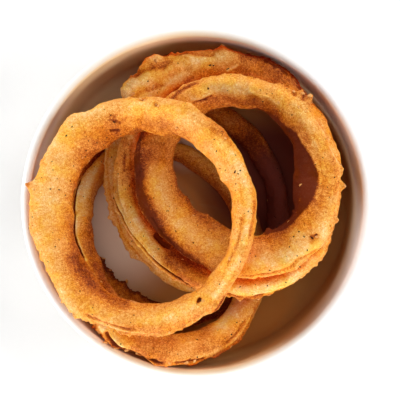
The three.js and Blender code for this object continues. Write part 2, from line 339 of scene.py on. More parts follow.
# Large pepper specks on each ring, as (direction, place, size in mm), besides the small ones.
PEPPER = {
    "ring_top": [
        (109, 174, 0.9), (130, 124, 0.7), (135, 134, 0.8), (128, 185, 0.6), (125, 202, 0.7),
        (122, 217, 0.6), (134, 202, 0.7), (137, 221, 0.7), (147, 198, 0.6), (157, 207, 0.8),
        (165, 162, 0.8), (164, 182, 0.7), (167, 203, 0.7), (160, 129, 0.5), (42, 148, 0.7),
        (32, 170, 0.6), (19, 134, 0.6), (15, 144, 0.5), (1, 71, 0.5), (334, 73, 0.6),
        (310, 170, 0.6), (317, 102, 0.6), (26, 122, 1), (24, 112, 0.6), (303, 112, 1.1),
        (240, 130, 0.5), (262, 120, 0.5), (206, 118, 0.5), (196, 176, 0.5), (150, 142, 0.5),
    ],
    "ring_right": [
        (110, 131, 1), (102, 211, 0.7), (57, 165, 0.7), (48, 152, 0.6), (310, 177, 0.8),
        (315, 177, 0.7), (315, 160, 0.8), (311, 120, 0.7), (305, 124, 0.6), (329, 90, 0.6),
        (161, 97, 1), (237, 153, 0.8), (232, 194, 0.6), (21, 104, 0.6), (330, 230, 0.8),
        (222, 150, 0.6), (206, 176, 0.5), (196, 150, 0.5), (344, 140, 0.5), (98, 150, 0.5),
        (318, 139, 1.1), (288, 118, 0.8), (76, 126, 0.5),
    ],
    "ring_wide": [
        (98, 143, 1.3), (96, 147, 0.9), (89, 158, 1.1), (302, 132, 0.7), (299, 100, 0.7),
        (296, 66, 0.7), (283, 90, 0.6), (309, 118, 0.7), (228, 120, 0.5), (206, 130, 0.5),
        (78, 118, 0.5), (112, 104, 0.6), (128, 108, 0.7),
    ],
    "ring_leaning": [
        (150, 124, 0.5), (288, 168, 0.9), (276, 128, 0.5), (262, 104, 0.5), (286, 100, 0.7),
        (306, 108, 0.8), (252, 96, 0.5),
    ],
}
SMALL_PEPPER = 84
SMALL_PEPPER_SIZES = (0.25, 0.70)
# Shape of the bits: flatness, roughness and how deep they sink, in shares of their size.
PEPPER_SHAPE = (0.45, 0.25, 0.12)

# Loose flakes of batter that stick to the crust, as (direction, place, size in mm).
FLAKES = {
    "ring_top": [
        (93, 90, 1.6), (91, 98, 1.3), (85, 114, 1.4), (84, 122, 1.2), (262, 200, 1.6),
        (260, 204, 1.2), (165, 76, 1.4), (281, 60, 1.3), (235, 62, 1.6), (44, 86, 1),
    ],
    "ring_right": [
        (56, 60, 1.7), (51, 58, 1.8), (47, 60, 1.9), (44, 56, 1.4), (352, 60, 1.8), (4, 64, 1.4),
        (9, 62, 1.1), (61, 142, 1.2), (320, 128, 1.6), (20, 62, 1),
    ],
    "ring_wide": [
        (138, 96, 1.9), (142, 84, 1.8), (128, 118, 1.5), (119, 84, 1.6), (91, 70, 1.6),
        (244, 72, 1.5), (246, 76, 1), (290, 60, 1.7), (285, 60, 1.5), (277, 58, 1.4),
    ],
    "ring_under": [(152, 60, 1.4), (206, 58, 1.3)],
    "ring_leaning": [
        (229, 62, 2), (234, 58, 2.2), (240, 60, 2.1), (246, 56, 1.8), (251, 60, 1.8),
        (256, 66, 1.5), (284, 84, 1.6), (280, 80, 1.6), (272, 82, 1.3), (302, 58, 1.4),
    ],
    "ring_floor": [(235, 184, 2.4), (214, 190, 1.8), (222, 186, 1.5), (247, 190, 1.6)],
}
SMALL_FLAKES = 12
SMALL_FLAKE_SIZES = (0.5, 1.3)
FLAKE_SHAPE = (0.35, 0.35, 0.05)
# A bit is stretched by a random share and bends with its length squared.
BIT_STRETCH = (0.65, 1.35)
BIT_BEND = 0.5
# Small bits lie in any direction, at these places round the section.
SMALL_PLACES = (20, 250)

# -------- fine relief of the crust, in mm
# Noise of the batter: (size of the bumps, height). Marks waver with the bumps of one size.
BUMPS = [(9.0, 0.45), (4.6, 0.36), (2.2, 0.26), (1.1, 0.15)]
WAVER_SIZE = 2.2
# How far a ring's seed moves the noise and the bubbles along x, y and z, in bumps.
NOISE_SHIFT = (31.7, 17.3, 7.9)
PIT_SHIFT = (13.1, 5.7, 23.3)
# Burst bubbles: their spacing and depth in mm, the share of places that have one, their radius as
# a share of the spacing, and how much darker they are painted, as shade in their hollows.
PIT_SPACING = 3.2
PIT_DEPTH = 0.45
PIT_SHARE = 0.16
PIT_RADIUS = 0.14
PIT_PAINTED_SHADE = 0.4
# How far the marks waver, in mm for a full bump of the noise.
MARK_WAVER = 0.36

# -------- colours and finish
# How pale the crust is round the section, by place, and for each ring as a whole. Both are partly
# painted shade and light: the inside and underside of the section are darker as painted shade, and
# ring_floor, deep in the heap, is darker as painted shade.
PLACES = [0, 60, 100, 130, 165, 200, 240, 270, 360]
PALENESS_AND_PAINTED_SHADE = [0.47, 0.50, 0.54, 0.57, 0.51, 0.38, 0.25, 0.29, 0.47]
RING_TONE = {
    "ring_floor": -0.20, "ring_leaning": 0.02, "ring_under": 0.12, "ring_wide": 0.02,
    "ring_right": 0.0, "ring_top": 0.01,
}

# Noise over the crust's paleness: (bumps per metre, detail, share), and its roughness.
MOTTLES = [(75, 2, 0.10), (260, 3, 0.27), (900, 2, 0.53), (2400, 2, 0.76)]
MOTTLE_ROUGHNESS = 0.55

# Tiny paler crumbs all over the crust: (bumps per metre, detail, roughness), stretch of the
# noise, and how much paler they are.
CRUMBS = (1500, 3, 0.6)
CRUMB_STRETCH = (5.0, -2.45)
CRUMB_TINT = (1.12, 1.50, 1.90)

# Patches of the crust are more orange than the rest: (bumps per metre, detail, roughness), how
# the noise is stretched to a share of 0 to 1, and the tint.
ORANGE_PATCHES = (120, 4, 0.6)
ORANGE_STRETCH = (6.0, -2.6)
ORANGE_TINT = (1.0, 0.92, 0.42)

# The crust's colour by tone. Its sheen fades with dark tones, which are stretched to 0 to 1.
CRUST_SHADES = [
    (0.00, (0.15, 0.026, 0.009)),
    (0.15, (0.34, 0.068, 0.015)),
    (0.33, (0.59, 0.152, 0.017)),
    (0.50, (0.78, 0.288, 0.042)),
    (0.68, (0.86, 0.430, 0.115)),
    (0.90, (0.92, 0.600, 0.265)),
]
CRUST_SHEEN = 0.15
DULL_STRETCH = (3.0, -0.4)
CRUST_ROUGHNESS = 0.52

# Fine bump of the crust: noise (bumps per metre, detail, roughness), strength and height in mm.
CRUST_GRAIN = (1300, 3, 0.6)
GRAIN_STRENGTH = 0.8
GRAIN_HEIGHT = 0.25

# Specks and flakes: noise (bumps per metre, detail), colours over it, (roughness, sheen).
PEPPER_GRAIN = (900, 2)
PEPPER_SHADES = [(0.35, (0.030, 0.010, 0.004)), (0.7, (0.100, 0.030, 0.010))]
PEPPER_FINISH = (0.8, 0.1)
FLAKE_GRAIN = (500, 2)
FLAKE_SHADES = [
    (0.30, (0.50, 0.16, 0.030)), (0.50, (0.76, 0.31, 0.055)), (0.70, (0.85, 0.45, 0.13)),
]
FLAKE_FINISH = (0.5, 0.5)

# Crust that stands close to another ring, or deep in the heap, is painted darker and redder:
# painted shade for the light it loses and painted bounce light off the orange crust. How closed in
# a point is comes from rays over its normal, with their reach in mm, on a grid of every so many
# points.
SHELTER_REACH = 26
SHELTER_RAYS = 32
SHELTER_STEP = (8, 4)
SHELTER_LIFT = 0.8
SHELTER_RANGE = (0.20, 0.92)
SHELTER_PAINTED_TONE = 0.23
SHELTER_PAINTED_TINT = (1.30, 0.48, 0.30)

# Where the heap is deepest, crust and glaze are painted dark as shade. For the rings and the bowl:
# the height at which it starts and is full, and the middle (x, y), the radius where it is full and
# where it ends.
DEEP_RINGS_HEIGHT = (56, 30)
DEEP_RINGS = (42, 3, 14, 32)
DEEP_BOWL_HEIGHT = (24, 10)
DEEP_BOWL = (34, 10, 20, 38)
DEEP_PAINTED_SHADE = (0.21, 0.050, 0.034)

# The glaze's colour by depth below the rim, 0 to 1, with noise (bumps per metre, detail, share),
# and its colour on the bowl's outside. Darker and browner with depth: painted shade down in the
# bowl, browned as by light bounced off the rings.
GLAZE_SHADES = [
    (0.03, (0.93, 0.92, 0.90)),
    (0.13, (0.92, 0.85, 0.76)),
    (0.27, (0.88, 0.70, 0.48)),
    (0.43, (0.78, 0.50, 0.22)),
    (0.63, (0.66, 0.38, 0.14)),
    (0.83, (0.60, 0.30, 0.09)),
    (0.98, (0.60, 0.240, 0.054)),
]
GLAZE_NOISE = (60, 2, 0.06)
OUTSIDE_SHADE = (0.74, 0.70, 0.65)
GLAZE_SHEEN = 0.08
GLAZE_ROUGHNESS = 0.42

# Paler spots on the glaze, greyish and tan, painted light where light reaches the floor and wall:
# middle (x, y), radius where full, radius where it ends and share.
LIT_SPOTS = [(-38, -12, 12, 40, 0.85), (-5, 29, 7, 17, 1.0)]
LIT_SPOT_SHADE = (0.90, 0.69, 0.53)
LIT_TAN_SPOTS = [(-38, 52, 10, 32, 0.95)]
LIT_TAN_SHADE = (0.92, 0.70, 0.40)

# How much deeper the glaze looks on the wall for its direction, in shares of the bowl's depth:
# painted light and shade for how the light falls on each side of the bowl.
WALL_DIRECTIONS = range(0, 361, 20)
WALL_PAINTED_SHADE = [
    -0.22, -0.38, -0.48, -0.38, -0.08, 0.14, 0.08, -0.02, -0.10, -0.16, -0.09, 0.0, 0.13, 0.27,
    0.30, 0.16, -0.08, -0.12, -0.22,
]

# How much faster than elsewhere the glaze gets darker downwards, by direction: painted shade that
# the rings cast on the wall.
STEEP_DIRECTIONS = [0, 20, 60, 85, 345, 360]
STEEP_PAINTED_SHADE = [1.2, 1.7, 1.7, 1.0, 1.0, 1.2]

# How deep the glaze looks on the lip's inner half, darker at the back and front as painted shade,
# and how far outside the rim that fades to nothing, in mm.
LIP_DIRECTIONS = [0, 60, 80, 95, 110, 140, 165, 220, 240, 262, 280, 300, 320, 360]
LIP_PAINTED_SHADES = [0.0, 0.0, 0.17, 0.29, 0.24, 0.16, 0.0, 0.0, 0.24, 0.32, 0.30, 0.12, 0.0, 0.0]
LIP_MARGIN = 0.2

# -------- view
CAMERA_X = 1.5
CAMERA_Y = 1.3
CAMERA_HEIGHT = 716
CAMERA_LENS = 137.25
SENSOR = 36
FLOOR_HALF_WIDTH = 1500
FLOOR_GREY = 0.97
FLOOR_ROUGHNESS = 0.9

# Soft light from all round, low and strongest from the front left: (name, azimuth, height in
# degrees, strength), and the angle that each light fills.
LIGHTS = [
    ("top", 0, 90, 0.45),
    ("back_right", 45, 50, 0.85),
    ("front_right_high", 315, 50, 0.35),
    ("right", 0, 28, 1.35),
    ("back", 90, 14, 1.1),
    ("back_left", 135, 12, 1.3),
    ("left", 180, 12, 0.5),
    ("front_left", 225, 12, 2.7),
    ("front", 270, 12, 0.75),
    ("front_right", 315, 12, 1.1),
]
LIGHT_SOFTNESS = 28
SKY_COLOUR = (1.0, 0.98, 0.96)
SKY_STRENGTH = 0.02

random = np.random.default_rng(63)


def swing(values, angle):
    mean, extra, direction = values
    return mean + extra * np.cos(angle - math.radians(direction))


def wrap(angle):
    return np.arctan2(np.sin(angle), np.cos(angle))


def rounded(value):
    return np.sign(value) * np.abs(value) ** SECTION_SQUARENESS


def smoothly(value, start, end):
    """0 at start, 1 at end and a smooth step between."""
    t = np.clip((value - start) / (end - start), 0, 1)
    return t * t * (3 - 2 * t)


def spot(points, x, y, full, end):
    """1 near the middle of a round spot in plan and 0 outside it."""
    return smoothly(np.hypot(points[:, 0] - x, points[:, 1] - y), end, full)


def centre(ring, angle):
    """Points of the ring's centreline, one row for each angle."""
    radius = ring["r"]
    for corners, (size, direction) in ((2, ring["oval"]), (3, ring["tri"])):
        radius = radius + size * np.cos(corners * (angle - math.radians(direction)))
    x = radius * np.cos(angle)
    y = radius * np.sin(angle)
    up = math.radians(ring["lean"][1])
    rise = math.tan(math.radians(ring["lean"][0])) * (x * math.cos(up) + y * math.sin(up))
    return np.stack([ring["x"] + x, ring["y"] + y, ring["z"] + rise], -1)


def coarse_relief(ring, angle, place):
    """The lumps and crags that the CAD's solid has too."""
    height = sum(
        size * np.sin(waves * angle + turns * place + ring["seed"] * (i + 1) * LUMP_SHIFT)
        for i, (waves, turns, size) in enumerate(LUMPS)
    )
    for direction, at, length, half_width, reach in ring["crags"]:
        along = ring["r"] * wrap(angle - math.radians(direction))
        across = ring["thick"][0] * wrap(place - math.radians(at))
        height = height + length * np.exp(-((along / half_width) ** 2) - (across / reach) ** 2)
    return height


def bumpy(points, size, seed):
    """Smooth noise from -1 to 1 at points in mm, with bumps of the given size."""
    shift = Vector([seed * step for step in NOISE_SHIFT])
    return np.array([noise.noise(Vector(p) / size + shift) for p in points])


def pits(points, seed):
    """Small round bubbles burst in the batter: 1 in the middle of one, 0 away from it."""
    shift = Vector([seed * step for step in PIT_SHIFT])
    out = np.zeros(len(points))
    for i, p in enumerate(points):
        distances, cells = noise.voronoi(Vector(p) / PIT_SPACING + shift)
        # A number from 0 to 1 for each cell.
        if noise.cell(cells[0] * 7.31) < PIT_SHARE:
            out[i] = max(0.0, 1 - distances[0] / PIT_RADIUS)
    return out


def section_size(ring):
    """Length in mm of one radian round the section, as a mean."""
    return (ring["thick"][0] + ring["tall"][0]) / 2


def distance_to_line(ring, line, angle, place):
    """Distance in mm along the crust to a line through [direction, place] points."""
    along_unit, across_unit = ring["r"], section_size(ring)
    nearest = np.full(len(angle), np.inf)
    ends = [(math.radians(a), math.radians(b)) for a, b in line]
    for (a0, p0), (a1, p1) in zip(ends, ends[1:]):
        along = along_unit * wrap(angle - a0)
        across = across_unit * wrap(place - p0)
        step_along = along_unit * float(wrap(a1 - a0))
        step_across = across_unit * float(wrap(p1 - p0))
        square = step_along**2 + step_across**2
        t = np.clip((along * step_along + across * step_across) / square, 0, 1)
        away = np.hypot(along - t * step_along, across - t * step_across)
        nearest = np.minimum(nearest, away)
    return nearest


def marks_and_painted_shade(ring, angle, place, waver):
    """Height in mm and tone of all marks on a ring, the tone partly painted light and shade."""
    height, tone = np.zeros(len(angle)), np.zeros(len(angle))
    for half_width, tall, shade, *line in MARKS_AND_PAINTED_SHADE[ring["name"]]:
        away = distance_to_line(ring, line, angle, place) + MARK_WAVER * waver
        share = np.exp(-((away / half_width) ** 2))
        height += tall * share
        tone += shade * share
    return height, tone


def shaded(ring, angle, place):
    """Tone of the ring's shaded inner face."""
    if ring["name"] not in SHADED_FACES:
        return 0
    edge, tone = SHADED_FACES[ring["name"]]
    first, last = edge[0][0], edge[-1][0]
    direction = first + (np.degrees(angle) - first) % 360
    past = np.degrees(place) - np.interp(direction, *zip(*edge))
    share = smoothly(past, *FACE_EDGE) * smoothly(np.degrees(place), *FACE_END)
    share *= smoothly(direction, first, first + FACE_FADE)
    share *= smoothly(direction, last, last - FACE_FADE)
    return tone * share


def teeth(ring, angle, place):
    """Height in mm of the ragged edges."""
    height = np.zeros(len(angle))
    turn = 2 * math.pi
    steps = np.arange(STEPS_AROUND) / STEPS_AROUND * turn
    for i, (start, end, at, tall) in enumerate(RAGGED[ring["name"]]):
        rough = np.array(
            [
                noise.noise(Vector((ring["r"] * a / TOOTH, ring["seed"] * 9.1, i * 5.3)))
                + TOOTH_FINER_SHARE
                * noise.noise(Vector((ring["r"] * a / TOOTH * TOOTH_FINER, ring["seed"], i * 3.1)))
                for a in steps
            ]
        )
        span = math.radians((end - start) % 360)
        into = (steps - math.radians(start)) % turn
        inside = smoothly(into, 0, TOOTH_FADE) * smoothly(into, span, span - TOOTH_FADE)
        row = tall * np.clip(rough + TOOTH_BIAS, *TOOTH_RANGE) * TOOTH_GAIN * inside
        across = section_size(ring) * wrap(place - math.radians(at))
        height += np.repeat(row, SIDES) * np.exp(-((across / TOOTH_WIDTH) ** 2))
    return height


def crust_mesh(ring):
    """A ring's crust points in mm, their tone, partly painted shade, and their painted deep shade.
    """
    angle, place = np.meshgrid(
        np.arange(STEPS_AROUND) / STEPS_AROUND * 2 * math.pi,
        np.arange(SIDES) / SIDES * 2 * math.pi,
        indexing="ij",
    )
    angle, place = angle.ravel(), place.ravel()
    middle = centre(ring, angle)
    ahead = centre(ring, angle + SMALL_ANGLE) - centre(ring, angle - SMALL_ANGLE)
    outward = np.stack([ahead[:, 1], -ahead[:, 0], np.zeros(len(angle))], -1)
    outward /= np.linalg.norm(outward, axis=1)[:, None]
    flare = np.radians(swing(ring["flare"], angle))
    across = swing(ring["thick"], angle) * rounded(np.cos(place))
    upwards = swing(ring["tall"], angle) * rounded(np.sin(place))
    offset = outward * (across * np.cos(flare) + upwards * np.sin(flare))[:, None]
    offset[:, 2] = upwards * np.cos(flare) - across * np.sin(flare)
    reach = np.linalg.norm(offset, axis=1)
    skin = middle + offset
    height = coarse_relief(ring, angle, place)
    for i, (size, tall) in enumerate(BUMPS):
        bumps = bumpy(skin, size, ring["seed"] + 10 * i)
        height = height + tall * bumps
        if size == WAVER_SIZE:
            waver = bumps
    holes = pits(skin, ring["seed"])
    # Grooves from the marks, and their tones, which are partly painted shade and light.
    mark_height, tone = marks_and_painted_shade(ring, angle, place, waver)
    tone = tone + shaded(ring, angle, place)
    height = height + mark_height + teeth(ring, angle, place) - PIT_DEPTH * holes
    points = middle + offset * ((reach + height) / reach)[:, None]
    # Paleness by place round the section and by ring, partly painted shade.
    tone = tone + RING_TONE[ring["name"]] + np.interp(np.degrees(place), PLACES, PALENESS_AND_PAINTED_SHADE)
    deep = smoothly(points[:, 2], *DEEP_RINGS_HEIGHT) * spot(points, *DEEP_RINGS)
    # Bubbles are painted darker, as shade in their hollows.
    return points, tone - PIT_PAINTED_SHADE * holes, deep


def rays_over(count):
    """Directions over the half sphere about +Z, denser towards its middle."""
    share = (np.arange(count) + 0.5) / count
    turn = np.arange(count) * math.pi * (3 - math.sqrt(5))
    out = np.sqrt(share)
    return np.stack([out * np.cos(turn), out * np.sin(turn), np.sqrt(1 - share)], -1)


def sheltered(points, normals, tree):
    """How closed in points are by what stands near them: 0 in the open, 1 all closed in."""
    rays = rays_over(SHELTER_RAYS)
    out = np.zeros(len(points))
    for i, (point, normal) in enumerate(zip(points, normals)):
        turned = rays @ np.array(Vector(normal).to_track_quat("Z", "Y").to_matrix()).T
        start = Vector(point + SHELTER_LIFT * normal)
        for ray in turned:
            distance = tree.ray_cast(start, Vector(ray), SHELTER_REACH)[3]
            if distance is not None:
                out[i] += 1 - distance / SHELTER_REACH
    return out / SHELTER_RAYS


def filled_in(coarse):
    """Values on every point of a ring's grid, from those on the coarse grid."""
    for axis, step in enumerate(SHELTER_STEP):
        following = np.roll(coarse, -1, axis)
        between = [coarse + (following - coarse) * k / step for k in range(step)]
        size = list(coarse.shape)
        size[axis] *= step
        coarse = np.stack(between, axis + 1).reshape(size)
    return coarse


def grid_faces(rows, columns):
    i, j = np.meshgrid(np.arange(rows), np.arange(columns), indexing="ij")
    i, j = i.ravel(), j.ravel()
    following, above = (i + 1) % rows, (j + 1) % columns
    corners = (i, j), (following, j), (following, above), (i, above)
    return np.stack([row * columns + column for row, column in corners], -1)


def grid_normals(points):
    """Outward normals of a ring's grid of points, (rows, columns, 3)."""
    along = np.roll(points, -1, 0) - np.roll(points, 1, 0)
    around = np.roll(points, -1, 1) - np.roll(points, 1, 1)
    normals = np.cross(along, around)
    return normals / np.linalg.norm(normals, axis=2)[:, :, None]


def make_piece(name, points, faces, material):
    mesh = bpy.data.meshes.new(name)
    mesh.from_pydata((np.asarray(points) * MM).tolist(), [], [list(map(int, f)) for f in faces])
    mesh.update()
    mesh.polygons.foreach_set("use_smooth", [True] * len(mesh.polygons))
    mesh.materials.append(material)
    piece = bpy.data.objects.new(name, mesh)
    bpy.context.scene.collection.objects.link(piece)
    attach(piece, "root")
    return piece


def set_attribute(piece, name, values):
    attribute = piece.data.attributes.new(name, "FLOAT", "POINT")
    attribute.data.foreach_set("value", np.asarray(values, np.float32))


def bowl_profile():
    """Radius and height of the bowl's outline, from the underside's middle round to the floor's."""
    rim, lip = RIM_DIAMETER / 2, LIP_THICKNESS / 2
    top, fillet_top = BOWL_HEIGHT - lip, FLOOR_THICKNESS + FILLET_RISE
    outer_wall = rim - WALL_DRAFT

    def fillet(start, end, low):
        """A quarter of an ellipse, from the flat at radius start up to the wall at radius end."""
        return [
            (start + (end - start) * math.sin(t), low + (fillet_top - low) * (1 - math.cos(t)))
            for t in np.linspace(0, math.pi / 2, FILLET_STEPS)
        ]

    outside = fillet(FOOT_RADIUS, outer_wall, FOOT_STEP)
    inside = fillet(FLOOR_RADIUS, outer_wall - LIP_THICKNESS, FLOOR_THICKNESS)[::-1]
    edge = [
        (rim - lip + lip * math.cos(t), top + lip * math.sin(t))
        for t in np.linspace(0, math.pi, LIP_STEPS)
    ]
    outer = [
        (outer_wall + WALL_DRAFT * s, fillet_top + (top - fillet_top) * s)
        for s in np.linspace(0, 1, WALL_STEPS)[1:-1]
    ]
    inner = [(radius - LIP_THICKNESS, height) for radius, height in outer[::-1]]
    foot = [(FOOT_RADIUS * s, 0) for s in FOOT_ROWS] + [(FOOT_RADIUS, FOOT_EDGE)]
    floor = [(FLOOR_RADIUS * s, FLOOR_THICKNESS) for s in FLOOR_ROWS]
    lining_from = len(foot + outside + outer) + LINING_STEP
    return np.array(foot + outside + outer + edge + inner + inside + floor), lining_from


def bowl_piece(material):
    profile, lining_from = bowl_profile()
    turn = np.arange(BOWL_SEGMENTS) / BOWL_SEGMENTS * 2 * math.pi
    rows = len(profile)
    points = np.stack(
        [
            np.outer(profile[:, 0], np.cos(turn)),
            np.outer(profile[:, 0], np.sin(turn)),
            np.repeat(profile[:, 1:], BOWL_SEGMENTS, axis=1),
        ],
        -1,
    ).reshape(-1, 3)
    i, j = np.meshgrid(np.arange(rows - 1), np.arange(BOWL_SEGMENTS), indexing="ij")
    here = (i * BOWL_SEGMENTS + j).ravel()
    after = (i * BOWL_SEGMENTS + (j + 1) % BOWL_SEGMENTS).ravel()
    walls = np.stack([here, after, after + BOWL_SEGMENTS, here + BOWL_SEGMENTS], -1).tolist()
    underside, floor = len(points), len(points) + 1
    points = np.vstack([points, [[0, 0, 0], [0, 0, FLOOR_THICKNESS]]])
    last = (rows - 1) * BOWL_SEGMENTS
    caps = []
    for k in range(BOWL_SEGMENTS):
        following = (k + 1) % BOWL_SEGMENTS
        caps.append((underside, following, k))
        caps.append((floor, last + k, last + following))
    piece = make_piece("glazed_bowl", points, walls + caps, material)
    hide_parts("bowl")
    lining = np.arange(len(points)) >= lining_from * BOWL_SEGMENTS
    lining[underside] = False
    return piece, points, lining


def paint_bowl_light_and_shade(bowl, points, lining):
    """Sets the glaze's painted light and shade at each point, and where its outside is."""
    x, y, z = points.T
    rim, radius, lip_foot = RIM_DIAMETER / 2, np.hypot(x, y), BOWL_HEIGHT - LIP_THICKNESS
    direction = np.degrees(np.arctan2(y, x)) % 360
    # Darker with depth: painted shade down in the bowl.
    depth = np.clip((BOWL_HEIGHT - z) / (BOWL_HEIGHT - FLOOR_THICKNESS), 0, 1)
    # Painted shade of the rings on the wall, by direction.
    depth *= np.interp(direction, STEEP_DIRECTIONS, STEEP_PAINTED_SHADE)
    # Painted light and shade on the wall, by direction.
    shift = np.interp(direction, WALL_DIRECTIONS, WALL_PAINTED_SHADE)
    shift *= smoothly(radius, rim, rim - LIP_THICKNESS)
    # Painted shade on the lip's inner half at the back and front.
    lip_painted_shade = np.interp(direction, LIP_DIRECTIONS, LIP_PAINTED_SHADES)
    lip_painted_shade *= smoothly(radius, rim + LIP_MARGIN, rim - LIP_THICKNESS)
    lip_painted_shade *= smoothly(z, lip_foot, BOWL_HEIGHT - LIP_THICKNESS / 2)
    inside = np.where(lining, np.clip(depth + shift, 0, 1), 0)
    set_attribute(bowl, "inside", np.maximum(inside, lip_painted_shade))
    outside = smoothly(z, BOWL_HEIGHT - LIP_THICKNESS / 2, BOWL_HEIGHT - 2 * LIP_THICKNESS)
    set_attribute(bowl, "outside", np.where(lining, 0, outside))
    # Paler spots, painted as light on the floor and wall.
    for name, spots in (("painted_light", LIT_SPOTS), ("painted_tan_light", LIT_TAN_SPOTS)):
        shares = sum(share * spot(points, *place) for *place, share in spots)
        set_attribute(bowl, name, lining * shares)
    # Painted shade on the glaze deep under the heap.
    low_part = lining * smoothly(z, *DEEP_BOWL_HEIGHT)
    set_attribute(bowl, "deep", low_part * spot(points, *DEEP_BOWL))


# -------- specks and flakes
def ball():
    """Corners and faces of an icosahedron of radius 1, each face split in four."""
    g = (1 + math.sqrt(5)) / 2
    corners = [(a, b * g, 0) for a in (-1, 1) for b in (-1, 1)]
    corners += [(0, a, b * g) for a in (-1, 1) for b in (-1, 1)]
    corners += [(a * g, 0, b) for a in (-1, 1) for b in (-1, 1)]
    corners = np.array(corners) / math.hypot(1, g)
    edge = np.linalg.norm(corners[:, None] - corners[None], axis=2)
    # Neighbours are 1.05 apart, other corners 1.7 or more.
    near = (edge > 0.1) & (edge < 1.2)
    faces = [
        (i, j, k)
        for i in range(12) for j in range(i + 1, 12) for k in range(j + 1, 12)
        if near[i, j] and near[j, k] and near[i, k]
    ]
    points, middles, split = list(corners), {}, []

    def middle(i, j):
        key = (min(i, j), max(i, j))
        if key not in middles:
            middles[key] = len(points)
            half_way = points[i] + points[j]
            points.append(half_way / np.linalg.norm(half_way))
        return middles[key]

    for i, j, k in faces:
        ij, jk, ki = middle(i, j), middle(j, k), middle(k, i)
        split += [(i, ij, ki), (j, jk, ij), (k, ki, jk), (ij, jk, ki)]
    points, split = np.array(points), np.array(split)
    a, b, c = points[split].transpose(1, 0, 2)
    inward = (np.cross(b - a, c - a) * a).sum(axis=1) < 0
    split[inward] = split[inward][:, [0, 2, 1]]
    return points, split


BALL_POINTS, BALL_FACES = ball()


def bit(place, normal, size, flatness, roughness, sink):
    """Corners of one irregular flat bit that lies on the crust."""
    side = np.cross(normal, random.normal(size=3))
    side /= np.linalg.norm(side)
    other = np.cross(normal, side)
    stretch = random.uniform(*BIT_STRETCH)
    swell = 1 + roughness * random.uniform(-1, 1, len(BALL_POINTS))
    shape = BALL_POINTS * swell[:, None] * size / 2
    bend = BIT_BEND * shape[:, 0] ** 2 / size
    return (
        place
        + np.outer(shape[:, 0] * stretch, side)
        + np.outer(shape[:, 1] / stretch, other)
        + np.outer(shape[:, 2] * flatness + bend - sink * size, normal)
    )


def scattered(table, grids, small, sizes):
    """Places, normals and sizes of the listed bits and of small ones at random."""
    found = []
    for ring in RINGS:
        points, normals = grids[ring["name"]]
        listed = list(table.get(ring["name"], []))
        for _ in range(small):
            listed.append(
                (random.uniform(0, 360), random.uniform(*SMALL_PLACES), random.uniform(*sizes))
            )
        for direction, at, size in listed:
            i = round(direction / 360 * STEPS_AROUND) % STEPS_AROUND
            j = round(at / 360 * SIDES) % SIDES
            found.append((points[i, j], normals[i, j], size))
    return found


# -------- materials
def new_material(name):
    material = bpy.data.materials.new(name)
    material.use_nodes = True
    tree = material.node_tree
    tree.nodes.clear()
    output = tree.nodes.new("ShaderNodeOutputMaterial")
    shader = tree.nodes.new("ShaderNodeBsdfPrincipled")
    tree.links.new(shader.outputs["BSDF"], output.inputs["Surface"])
    return material, tree, shader


def noise_node(tree, scale, detail, roughness=0.5):
    """Noise over the object's own metres: scale is in bumps per metre."""
    place = tree.nodes.new("ShaderNodeTexCoord")
    node = tree.nodes.new("ShaderNodeTexNoise")
    node.inputs["Scale"].default_value = scale
    node.inputs["Detail"].default_value = detail
    node.inputs["Roughness"].default_value = roughness
    tree.links.new(place.outputs["Object"], node.inputs["Vector"])
    return node.outputs["Fac"]


def attribute_node(tree, name):
    node = tree.nodes.new("ShaderNodeAttribute")
    node.attribute_name = name
    return node.outputs["Fac"]


def ramp_node(tree, value, stops):
    node = tree.nodes.new("ShaderNodeValToRGB")
    elements = node.color_ramp.elements
    while len(elements) < len(stops):
        elements.new(0.5)
    for element, (position, colour) in zip(elements, stops):
        element.position = position
        element.color = (*colour, 1)
    tree.links.new(value, node.inputs["Fac"])
    return node.outputs["Color"]


def mix_colours(tree, factor, colour, tint, blend="MIX"):
    """A colour blended with a fixed tint by a factor."""
    node = tree.nodes.new("ShaderNodeMix")
    node.data_type = "RGBA"
    node.blend_type = blend
    inputs = {socket.name: socket for socket in node.inputs if socket.enabled}
    tree.links.new(factor, inputs["Factor"])
    tree.links.new(colour, inputs["A"])
    inputs["B"].default_value = (*tint, 1)
    return [socket for socket in node.outputs if socket.enabled][0]


def stretched(tree, value, by, plus, limited=False):
    """value * by + plus, kept within 0 to 1 if limited. plus is a number or a node's output."""
    node = tree.nodes.new("ShaderNodeMath")
    node.use_clamp = limited
    node.operation = "MULTIPLY_ADD"
    tree.links.new(value, node.inputs[0])
    node.inputs[1].default_value = by
    if hasattr(plus, "is_output"):
        tree.links.new(plus, node.inputs[2])
    else:
        node.inputs[2].default_value = plus
    return node.outputs[0]


